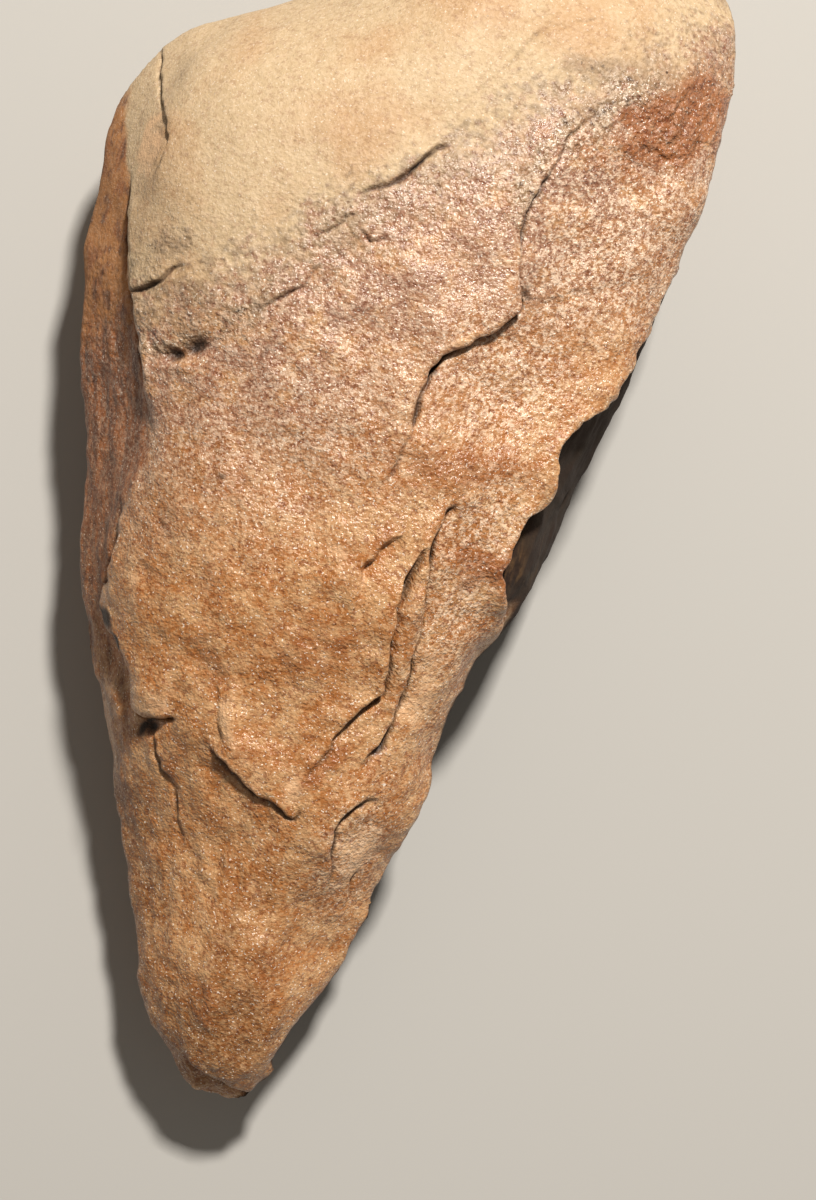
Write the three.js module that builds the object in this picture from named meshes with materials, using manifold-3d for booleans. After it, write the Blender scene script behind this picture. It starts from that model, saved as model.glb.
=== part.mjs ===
// A stone hand axe: a thick pointed biface of quartzite, lying on the bulge of its back face.
// Millimetres. The tip points along -Y, the butt along +Y, and the front face looks up along +Z.
// A place in plan is [along, across]: a share of the length from the tip, and a share of the
// width from the long axis, positive to the right. Depths and heights are shares of the thickness.

import * as THREE from "three";
import { mergeVertices } from "three/addons/utils/BufferGeometryUtils.js";
import Module from "manifold-3d";

const wasm = await Module();
wasm.setup();
const { lerp, smoothstep, degToRad } = THREE.MathUtils;
const UP = new THREE.Vector3(0, 0, 1);

// Driving sizes
const LENGTH = 158;
const WIDTH = 80;
const THICKNESS = 42;
const REST_TRIM = 1.4; // how much of the lowest bulge is worn away into the flat spot it rests on

// How finely the blank and the flake scars are faceted
const SECTIONS = 46;
const SPANS = 8;
const SPAN_CROWDING = 0.7; // below 1 the spans narrow towards the edge
const SCAR_ROWS = 4;
const SCAR_COLUMNS = 8;

const CLEARANCE = 0.4 * WIDTH; // how far a cutter reaches past the stone
const WELD = 1e-3; // corners nearer than this are one corner

// The outline from the tip to the highest point of the butt, as [along, across]
const LEFT_OUTLINE = [
  [0, 0], [0.008, -0.078], [0.036, -0.122], [0.062, -0.178], [0.11, -0.213], [0.17, -0.251],
  [0.24, -0.3], [0.3, -0.334], [0.36, -0.387], [0.43, -0.427], [0.5, -0.436], [0.55, -0.466],
  [0.6, -0.484], [0.65, -0.501], [0.69, -0.509], [0.735, -0.496], [0.77, -0.505], [0.81, -0.474],
  [0.848, -0.425], [0.872, -0.34], [0.892, -0.25], [0.93, -0.12], [0.967, 0.01], [0.992, 0.12],
  [1, 0.215],
];
const RIGHT_OUTLINE = [
  [0, 0], [0.018, 0.026], [0.05, 0.064], [0.08, 0.078], [0.12, 0.124], [0.17, 0.153],
  [0.21, 0.166], [0.255, 0.193], [0.29, 0.203], [0.325, 0.21], [0.36, 0.234], [0.4, 0.256],
  [0.43, 0.283], [0.455, 0.302], [0.485, 0.326], [0.53, 0.341], [0.58, 0.366], [0.62, 0.394],
  [0.66, 0.413], [0.7, 0.425], [0.74, 0.443], [0.78, 0.462], [0.83, 0.475], [0.9, 0.468],
  [0.95, 0.445], [0.98, 0.38], [0.995, 0.28], [1, 0.215],
];

// Heights along the stone, as [along, height]
const LEFT_EDGE = [[0, 0.3], [0.2, 0.33], [0.4, 0.4], [0.7, 0.42], [0.9, 0.47], [1, 0.5]];
const RIGHT_EDGE = [
  [0, 0.3], [0.15, 0.37], [0.3, 0.47], [0.42, 0.55], [0.46, 0.5], [0.5, 0.36], [0.6, 0.34],
  [0.67, 0.42], [0.73, 0.64], [0.8, 0.68], [0.9, 0.6], [1, 0.5],
];
const CREST = [
  [0.05, 0.42], [0.15, 0.56], [0.3, 0.74], [0.45, 0.88], [0.6, 0.975], [0.7, 1], [0.8, 0.965],
  [0.9, 0.88],
];
const KEEL = [[0.05, 0.18], [0.2, 0.12], [0.35, 0.05], [0.47, 0], [0.72, 0], [0.8, 0.03], [0.9, 0.12]];
const SPINE = [[0.05, -0.02], [0.3, 0], [0.5, 0.025], [0.7, 0.035], [0.9, 0.06]];
const SPINE_START = 0.06;
const SPINE_END = 0.88;

// How far out the faces stay flat before they turn down to the edge, as [along, power]
const LEFT_TURN = [[0, 3], [0.25, 3], [0.45, 4.5], [0.8, 4.5], [1, 3]];
const RIGHT_TURN = [[0, 3], [0.3, 2.6], [0.42, 4], [0.5, 8], [0.64, 8], [0.72, 3], [1, 3]];
const BACK_TURN = 2.3;

// Flake scars. Each runs in a straight way from the edge behind it to its rim:
//   rim      where it ends, as plan places listed from left to right for someone looking along it,
//            each with a step of its own where it has a third number
//   aim      the way it runs, in degrees from +X
//   heel     its height at the edge, where it isn't the edge's own
//   lift     how far its heel lies above the edge, or below it where negative
//   step     how far its end lies below the face; where negative it runs out to nothing
//   sag      how hollow it is along its length, or how full where negative
//   cup      how far its left and its right side rise
// One with a round end has, in place of a rim and an aim:
//   side     the side it is struck on, -1 for left and 1 for right
//   station  how far along the length it is struck
//   turn     how many degrees it leans from square to the edge towards the butt
//   reach    its length, and spread its width, as shares of the stone's width
const FRONT_SCARS = [
  // The broad upper right scar, which ends in a jagged step along the middle of the face
  {
    rim: [
      [0.527, 0.039, 0.007], [0.565, 0.064, 0.019], [0.589, 0.07], [0.613, 0.084],
      [0.628, 0.093, 0.043], [0.637, 0.128, 0.048], [0.664, 0.188, 0.048], [0.678, 0.195],
      [0.716, 0.182, 0.024], [0.743, 0.18, 0.021], [0.765, 0.202, 0.017], [0.796, 0.206, 0.012],
      [0.84, 0.259, 0], [0.872, 0.33, -0.01],
    ],
    aim: 165, heel: 0.72, step: 0.036, sag: 0.012, cup: [0.08, 0.02],
  },
  // Two scars below it, one inside the other
  {
    rim: [
      [0.256, -0.006, -0.005], [0.277, 0.009, 0], [0.328, 0.052, 0.007], [0.365, 0.1],
      [0.404, 0.101], [0.437, 0.111], [0.468, 0.115], [0.506, 0.14], [0.545, 0.16],
    ],
    aim: 175, heel: 0.68, step: 0.014, sag: 0.012, cup: [0, 0.05],
  },
  {
    rim: [
      [0.342, 0.109], [0.367, 0.122], [0.399, 0.134], [0.44, 0.141], [0.503, 0.15],
      [0.536, 0.19], [0.565, 0.22],
    ],
    aim: 175, heel: 0.66, step: 0.038, sag: 0.012, cup: [0, 0.05],
  },
  // Short steps towards the tip
  {
    rim: [
      [0.19, 0.05], [0.211, 0.07], [0.231, 0.07], [0.261, 0.082], [0.283, 0.106], [0.31, 0.14],
    ],
    aim: 172, heel: 0.5, step: 0.021, sag: 0.007, cup: [0.03, 0.02],
  },
  { side: 1, station: 0.13, turn: 0, reach: 0.15, spread: 0.325, step: -0.01, sag: 0.014, cup: [0.02, 0.02] },
  // Narrow scars down the upper left edge
  {
    rim: [
      [0.888, -0.27], [0.862, -0.325], [0.83, -0.37], [0.774, -0.39], [0.718, -0.393],
      [0.678, -0.409],
    ],
    aim: -5, step: 0.019, sag: 0.01,
  },
  {
    rim: [[0.69, -0.412], [0.632, -0.391], [0.595, -0.369], [0.558, -0.346], [0.531, -0.298]],
    aim: -8, step: 0.031, sag: 0.014,
  },
  // The steep scar and the long full one that leave a lobe standing over the tip
  {
    rim: [
      [0.532, -0.301], [0.496, -0.342], [0.469, -0.371], [0.422, -0.361], [0.377, -0.336],
      [0.346, -0.292], [0.311, -0.24],
    ],
    aim: 0, step: 0.048, sag: 0.014,
  },
  {
    rim: [
      [0.322, -0.285], [0.299, -0.205], [0.29, -0.13], [0.268, -0.068], [0.254, -0.008, 0.026],
      [0.22, 0.01, 0.007], [0.19, 0.02, -0.007], [0.127, 0.012, -0.012], [0.05, 0, -0.012],
    ],
    aim: 30, step: 0.038, sag: -0.07,
  },
  // The chipped tip
  {
    rim: [[0.036, -0.102], [0.028, -0.059], [0.023, 0], [0.035, 0.031]],
    aim: 90, lift: 0.035, step: 0.019,
  },
  // The butt
  { side: -1, station: 0.975, turn: 0, reach: 0.13, spread: 0.3, step: -0.01, cup: [0.02, 0.02] },
  { side: 1, station: 0.97, turn: 0, reach: 0.13, spread: 0.3, step: -0.01, cup: [0.02, 0.02] },
];
const BACK_SCARS = [
  { side: -1, station: 0.1, turn: 10, reach: 0.212, spread: 0.325, step: 0.007, sag: 0.014 },
  { side: 1, station: 0.09, turn: 20, reach: 0.15, spread: 0.25, step: -0.007, sag: 0.007 },
  { side: 1, station: 0.22, turn: 5, reach: 0.237, spread: 0.35, step: 0.01, sag: 0.012 },
  { side: -1, station: 0.28, turn: -5, reach: 0.275, spread: 0.375, step: 0.014, sag: 0.024 },
  { side: 1, station: 0.4, turn: 0, reach: 0.25, spread: 0.375, step: 0.012, sag: 0.014 },
  { side: -1, station: 0.46, turn: 8, reach: 0.275, spread: 0.4, step: 0.017, sag: 0.024 },
  { side: 1, station: 0.58, turn: -8, reach: 0.263, spread: 0.4, step: 0.014, sag: 0.026 },
  { side: -1, station: 0.65, turn: 0, reach: 0.263, spread: 0.45, step: 0.019, sag: 0.029 },
  { side: 1, station: 0.77, turn: -10, reach: 0.3, spread: 0.425, step: 0.017, sag: 0.029 },
  { side: -1, station: 0.83, turn: -12, reach: 0.325, spread: 0.425, step: 0.017, sag: 0.029 },
  { side: 1, station: 0.97, turn: -5, reach: 0.35, spread: 0.45, step: 0.014, sag: 0.029 },
].map((scar) => ({ ...scar, lift: 0.012, cup: [0.024, 0.024] }));
const ROUNDNESS = 0.92; // at 1 the end of a scar struck at the edge comes round to its sides

// Small bites that run round the edge, turn and turn about from the front and from the back
const BITES = 17;
const BITE_START = 0.07;
const BITE_END = 0.85;
const BITE = { turn: 8, lift: -0.021, step: -0.007, sag: 0.007, cup: [0.02, 0.02], rows: 2, columns: 4 };
const BITE_REACHES = [0.056, 0.088, 0.069, 0.1, 0.05];
const BITE_SPREADS = [0.113, 0.162, 0.125];
const WALL = [0.42, 0.76]; // the right side is a steep wall here, with no bites from the front

// Value at x of a smooth curve through [x, value] points.
function along(points, x) {
  const k = points.findIndex(([station]) => station >= x);
  if (k === 0) return points[0][1];
  if (k < 0) return points.at(-1)[1];
  const [x0, v0] = points[k - 1];
  const [x1, v1] = points[k];
  return lerp(v0, v1, smoothstep(x, x0, x1));
}

function plan([share, across]) {
  return new THREE.Vector3(across * WIDTH, share * LENGTH, 0);
}

// The items of a row of this many steps, made from their place between 0 and 1.
function steps(count, make) {
  return Array.from({ length: count + 1 }, (_, k) => make(k / count));
}

// One half of the blank: its edge, and its front and back as rows of points from the spine out.
function halfBlank(outline, edgeHeights, turns) {
  const curve = new THREE.CatmullRomCurve3(outline.map(plan), false, "centripetal");
  const edge = curve.getSpacedPoints(SECTIONS);
  edge.forEach((point) => point.setZ(along(edgeHeights, point.y / LENGTH) * THICKNESS));
  const face = (heights, sink, powerAt) =>
    edge.map((end, k) => {
      const foot = lerp(SPINE_START, SPINE_END, k / SECTIONS);
      const spine = plan([foot, along(SPINE, foot)]).setZ(along(heights, foot) * THICKNESS - sink);
      const power = powerAt(end.y / LENGTH);
      return steps(SPANS, (place) => {
        const share = place ** SPAN_CROWDING;
        return spine.clone().lerp(end, share).setZ(lerp(spine.z, end.z, share ** power));
      });
    });
  return {
    edge,
    front: face(CREST, 0, (station) => along(turns, station)),
    back: face(KEEL, REST_TRIM, () => BACK_TURN),
  };
}

// The triangles between rows of points.
function sheet(rows, flipped) {
  const triangles = [];
  for (let i = 1; i < rows.length; i++) {
    for (let j = 1; j < rows[i].length; j++) {
      const [a, b, c, d] = [rows[i - 1][j - 1], rows[i - 1][j], rows[i][j], rows[i][j - 1]];
      triangles.push([a, b, c], [a, c, d]);
    }
  }
  return flipped ? triangles.map((corners) => corners.toReversed()) : triangles;
}

// A solid from a closed mesh, without the triangles that shrank to a line.
function asSolid(geometry) {
  geometry.deleteAttribute("normal");
  geometry.deleteAttribute("uv");
  const welded = mergeVertices(geometry, WELD);
  const kept = [];
  for (let i = 0; i < welded.index.count; i += 3) {
    const corners = [0, 1, 2].map((k) => welded.index.getX(i + k));
    if (new Set(corners).size === 3) kept.push(...corners);
  }
  const vertProperties = welded.attributes.position.array;
  return new wasm.Manifold(
    new wasm.Mesh({ numProp: 3, vertProperties, triVerts: new Uint32Array(kept) }),
  );
}

function solidFrom(triangles) {
  return asSolid(new THREE.BufferGeometry().setFromPoints(triangles.flat()));
}

// Height of a face of the blank over a place, or null where there is none.
function heightOn(face, place) {
  const shares = new THREE.Vector3();
  for (const corners of face) {
    const [a, b, c] = corners.map((corner) => corner.clone().setZ(0));
    const found = THREE.Triangle.getBarycoord(place, a, b, c, shares);
    if (found && shares.x >= 0 && shares.y >= 0 && shares.z >= 0) {
      return shares.x * corners[0].z + shares.y * corners[1].z + shares.z * corners[2].z;
    }
  }
  return null;
}

// Where the edge is met by going back from a place against the run of a scar.
function edgeBehind(place, run) {
  let nearest = null;
  let reach = Infinity;
  for (let k = 1; k < edge.length; k++) {
    const [start, end] = [edge[k - 1], edge[k]];
    const side = end.clone().sub(start);
    const turn = run.x * side.y - run.y * side.x;
    const [dx, dy] = [place.x - start.x, place.y - start.y];
    const distance = (dx * side.y - dy * side.x) / turn;
    const share = (dx * run.y - dy * run.x) / turn;
    if (share >= 0 && share <= 1 && distance > 0 && distance < reach) {
      reach = distance;
      nearest = start.clone().lerp(end, share);
    }
  }
  return nearest ?? place.clone().setZ(edge[0].z);
}

// The run of a scar, and the lines that it follows, each from its foot at the edge to its end.
function aimed({ rim, aim, step }) {
  const run = new THREE.Vector3(1, 0, 0).applyAxisAngle(UP, degToRad(aim));
  const lines = rim.map(([share, across, ownStep = step]) => {
    const end = plan([share, across]);
    return { foot: edgeBehind(end, run), end, step: ownStep };
  });
  return { run, lines };
}

function struck({ side, station, turn, reach, spread, step, columns = SCAR_COLUMNS }) {
  const [outline, heights] = side < 0 ? [left.edge, LEFT_EDGE] : [right.edge, RIGHT_EDGE];
  const k = outline.findIndex((point) => point.y >= station * LENGTH);
  const across = outline[k + 1].clone().sub(outline[k - 1]).setZ(0).setLength(side);
  across.applyAxisAngle(UP, degToRad(-side * turn));
  const run = UP.clone().cross(across);
  const lines = steps(columns, (place) => {
    const offset = 2 * place - 1;
    const length = reach * WIDTH * Math.sqrt(1 - ROUNDNESS * offset ** 2);
    const foot = outline[k].clone().addScaledVector(across, (offset * spread * WIDTH) / 2);
    foot.setZ(along(heights, foot.y / LENGTH) * THICKNESS);
    return { foot, end: foot.clone().addScaledVector(run, length), step };
  });
  return { run, lines };
}

// What a scar takes off a face: its floor is the scar, and it reaches clear of the stone. The front
// faces 1, and the back -1.
function flake(scar, face, facing) {
  const { heel, lift = 0, sag = 0, cup = [0, 0], rows = SCAR_ROWS } = scar;
  const { run, lines } = scar.rim ? aimed(scar) : struck(scar);
  const floor = lines.map(({ foot, end, step }, k) => {
    const offset = (2 * k) / (lines.length - 1) - 1;
    const rise = (offset < 0 ? cup[0] : cup[1]) * offset ** 2;
    const start = heel ? heel * THICKNESS : foot.z + facing * lift * THICKNESS;
    const finish = (heightOn(face, end) ?? foot.z) - facing * step * THICKNESS;
    const points = steps(rows, (place) => {
      const hollow = (4 * sag * place * (1 - place) - rise) * THICKNESS;
      return foot.clone().lerp(end, place).setZ(lerp(start, finish, place) - facing * hollow);
    });
    const slope = (points[1].z - points[0].z) / points[1].distanceTo(points[0]);
    const far = foot.clone().addScaledVector(run, -CLEARANCE).setZ(points[0].z - slope * CLEARANCE);
    return [far, ...points];
  });
  const upward = facing > 0;
  const lid = upward ? THICKNESS + CLEARANCE : -CLEARANCE;
  const top = floor.map((column) => column.map((point) => point.clone().setZ(lid)));
  const heels = (columns) => columns.map((column) => column[0]);
  const ends = (columns) => columns.map((column) => column.at(-1));
  return solidFrom([
    ...sheet(floor, !upward),
    ...sheet(top, upward),
    ...sheet([floor[0], top[0]], upward),
    ...sheet([floor.at(-1), top.at(-1)], !upward),
    ...sheet([heels(floor), heels(top)], !upward),
    ...sheet([ends(floor), ends(top)], upward),
  ]);
}

// The small bites, each as a scar with the way that it faces.
function edgeBites() {
  const bites = [];
  for (let k = 0; k < BITES; k++) {
    const station = lerp(BITE_START, BITE_END, k / (BITES - 1));
    const reach = BITE_REACHES[k % BITE_REACHES.length];
    const spread = BITE_SPREADS[k % BITE_SPREADS.length];
    const first = k % 2 ? 1 : -1;
    bites.push([{ ...BITE, side: -1, station, reach, spread }, -first]);
    const onWall = first > 0 && station > WALL[0] && station < WALL[1];
    if (!onWall) bites.push([{ ...BITE, side: 1, station, reach, spread }, first]);
  }
  return bites;
}

const left = halfBlank(LEFT_OUTLINE, LEFT_EDGE, LEFT_TURN);
const right = halfBlank(RIGHT_OUTLINE, RIGHT_EDGE, RIGHT_TURN);
const edge = [...left.edge, ...right.edge.toReversed()];
const frontFace = [...sheet(left.front, true), ...sheet(right.front, false)];
const backFace = [...sheet(left.back, false), ...sheet(right.back, true)];

const flakes = [
  ...FRONT_SCARS.map((scar) => flake(scar, frontFace, 1)),
  ...BACK_SCARS.map((scar) => flake(scar, backFace, -1)),
  ...edgeBites().map(([bite, facing]) => flake(bite, facing > 0 ? frontFace : backFace, facing)),
];
const blank = solidFrom([...frontFace, ...backFace]);
const knapped = flakes.reduce((stone, piece) => stone.subtract(piece), blank);

// Everything below z = 0 is worn away, which leaves the flat spot
const ground = new THREE.BoxGeometry(2 * LENGTH, 3 * LENGTH, THICKNESS).translate(0, 0, -THICKNESS / 2);
const { vertProperties, triVerts } = knapped.subtract(asSolid(ground)).getMesh();

const geometry = new THREE.BufferGeometry();
geometry.setAttribute("position", new THREE.BufferAttribute(vertProperties, 3));
geometry.setIndex(new THREE.BufferAttribute(triVerts, 1));
geometry.computeBoundingBox();
geometry.computeVertexNormals();
const { min, max } = geometry.boundingBox;

const quartzite = new THREE.MeshStandardMaterial({ color: 0xb98a62, roughness: 0.6, metalness: 0 });
const axe = new THREE.Mesh(geometry, quartzite);
axe.name = "hand_axe";
// The origin is on the ground under the middle of the stone
axe.position.set(-(min.x + max.x) / 2, -(min.y + max.y) / 2, -min.z);

const group = new THREE.Group();
group.add(axe);
export default group;
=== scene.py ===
"""Finishes the stone hand axe: the knapped surface, the weathered rind and grain of its quartzite,
a pale floor, a lamp and a camera that looks down on the stone where it lies."""

import math
from types import SimpleNamespace

import bpy
import numpy as np
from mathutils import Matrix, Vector, noise


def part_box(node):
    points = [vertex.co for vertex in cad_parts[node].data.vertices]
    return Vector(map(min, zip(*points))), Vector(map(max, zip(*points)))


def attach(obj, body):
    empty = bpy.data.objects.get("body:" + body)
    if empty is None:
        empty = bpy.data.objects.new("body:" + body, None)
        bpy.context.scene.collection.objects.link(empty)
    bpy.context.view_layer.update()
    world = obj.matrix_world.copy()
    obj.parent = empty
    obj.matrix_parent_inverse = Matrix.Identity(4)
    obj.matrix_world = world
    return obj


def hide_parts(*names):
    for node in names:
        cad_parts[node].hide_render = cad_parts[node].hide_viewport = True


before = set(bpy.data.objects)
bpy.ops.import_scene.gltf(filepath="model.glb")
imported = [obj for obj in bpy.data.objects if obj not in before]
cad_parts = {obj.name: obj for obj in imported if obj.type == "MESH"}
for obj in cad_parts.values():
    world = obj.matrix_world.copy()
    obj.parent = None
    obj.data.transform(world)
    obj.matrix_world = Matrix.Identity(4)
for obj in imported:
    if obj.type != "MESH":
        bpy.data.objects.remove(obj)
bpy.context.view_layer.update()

# Places on the stone are in millimetres in plan, across and along from its tip
MM = 0.001
LENGTH = 158
RIGHT_REACH = 37.742
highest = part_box("hand_axe")[1]
TIP = np.array([highest.x / MM - RIGHT_REACH, highest.y / MM - LENGTH])

# The even skin of small faces, and its softening, which holds back at the edges
SKIN_FACE = 0.52
WELD_GAP = 0.001
SOFTENING = 0.5
SOFTENING_ROUNDS = 175
EDGE_HOLD = 0.93
WEIGHT_LEVELS = 20

# An edge is where the faces around a place turn away from each other, which shortens their mean
# direction, and where they lean. Both are ranges, from where it begins to count to where it is full
EDGE_SPREAD = 8
EDGE_TURN = (0.955, 0.87)
EDGE_LEAN = (0.62, 0.40)

# Faces are smaller this near to a line. The faces that turn down further than this are the back,
# which keeps this share of them
FINE_BAND = 1.1
BACK_TURN = -0.2
BACK_SHARE = 0.22

# Relief of the steps and cracks, across their line, in millimetres
STEP_SLOPE = 0.16
LIP_PLACE = -0.75
LIP_WIDTH = 0.55
GROOVE_PLACE = 0.26
GROOVE_WIDTH = 0.31
# Where the dark line of dirt and painted shade lies beside a step, and how wide it is
DIRT_SHADE_PLACE = 0.22
DIRT_SHADE_WIDTH = 0.42
RIM_PLACE = -0.7
RIM_WIDTH = 0.6

# A hollow's dirt and painted shade follow its depth by this power, so that shallow ones stay clean and
# light
HOLLOW_DIRT_SHADE_POWER = 3

# A line wavers by this much, and its strength comes and goes along it, within limits
LINE_WARP = 0.35
LINE_WARP_SIZE = 1.9
UNEVEN_SIZE = 3.0
UNEVEN_USUAL = 0.9
UNEVEN_VARIES = 1.1
UNEVEN_LIMITS = (0.4, 1.2)

# Relief and stains begin and are full where a face turns up this far, as the height of its normal.
# Stains are warped by this much, so that no spot is a plain oval
RELIEF_FACING = (0.0, 0.3)
STAIN_FACING = (-0.2, 0.05)
STAIN_WARP = 2.2
STAIN_WARP_SIZE = 3.5

# The painted shade of the steep right side begins this far over the right edge, or where a face is steep
# and turned to the right, and it fades along the stone towards the butt. The old skin begins this far over
# its edge
SIDE_BORDER = (-0.1, 0.4)
SIDE_STRENGTH = (0, 0.6)
STEEP_FACING = (0.42, 0.12)
STEEP_RIGHTWARD = (0.2, 0.5)
STEEP_ALONG = (124, 106)
SKIN_BORDER = (-0.6, 0.9)

# Relief all over, as height and size of its lumps in millimetres. The streaks are lumps that are
# stretched along the stone, and the seed is that of the drift
DRIFT = [(0.40, 4.5), (0.28, 1.7)]
LUMPS = [(0.42, 9.0), (0.25, 3.8), (0.10, 1.5)]
STREAKS = [(0.14, 2.2), (0.09, 1.2)]
STREAK_STRETCH = (1, 0.16, 1)
DRIFT_SEED = 5

# How much of the drift out of the surface is taken away, and how much more on the rind. The rind
# begins and is full at this rise over its border, and its lumps are lower by this share
DRIFT_FLATTENED = 0.5
RIND_FLATTENED = 0.25
RIND_RISE = (-6, 8)
RIND_CALM = 0.65

# Streaks run along the left, further over and stronger on the lower part, and over the right edge
LOWER_ALONG = (60, 40)
LOWER_REACH = 12
LEFT_ACROSS = (4, 14)
STREAKS_USUAL = 0.7
STREAKS_LOWER = 0.8
RIGHT_ALONG = (60, 75)
RIGHT_BORDER = (0, 1)

# The stone seen from above is turned by this much, and the camera stands off its centre
TURN = math.radians(10.9)
LOOK_AT = (9.3, 69.07)
CAMERA_HEIGHT = 0.444
LENS = 100.8
SENSOR_WIDTH = 36
NEAREST_SEEN = 0.01

# The lamp and what it shines at, as right, up and height in metres, and the fill and the floor
LAMP_PLACE = (0.20, 0.48, 0.72)
LAMP_AIM = (0, 0, 0.02)
LAMP_POWER = 12.1
LAMP_SIZE = 0.08
LAMP_COLOUR = (1.0, 0.95, 0.88)
FILL_COLOUR = (1.0, 0.91, 0.80, 1.0)
FILL_STRENGTH = 0.2
FLOOR_SIZE = 8
FLOOR_ROUGHNESS = 0.9


def plain_seam(line, drop=0.0, lip=0.0, groove=0.0, dirt=1.0, pale=0.0, reach=4.0):
    """A step or crack. The line's points are (across, along, strength), and the lower side is on
    the left of whoever walks along it. Drop, lip and groove are its relief in millimetres at full
    strength, reach is how far the drop fades out beside it, pale is its pale lip, and the dirt setting is
    the strength of its dark line, part dirt and part painted shade."""
    return {"line": np.array(line, float), "drop": drop, "lip": lip, "groove": groove,
            "dirt": dirt, "pale": pale, "reach": reach}


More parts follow.
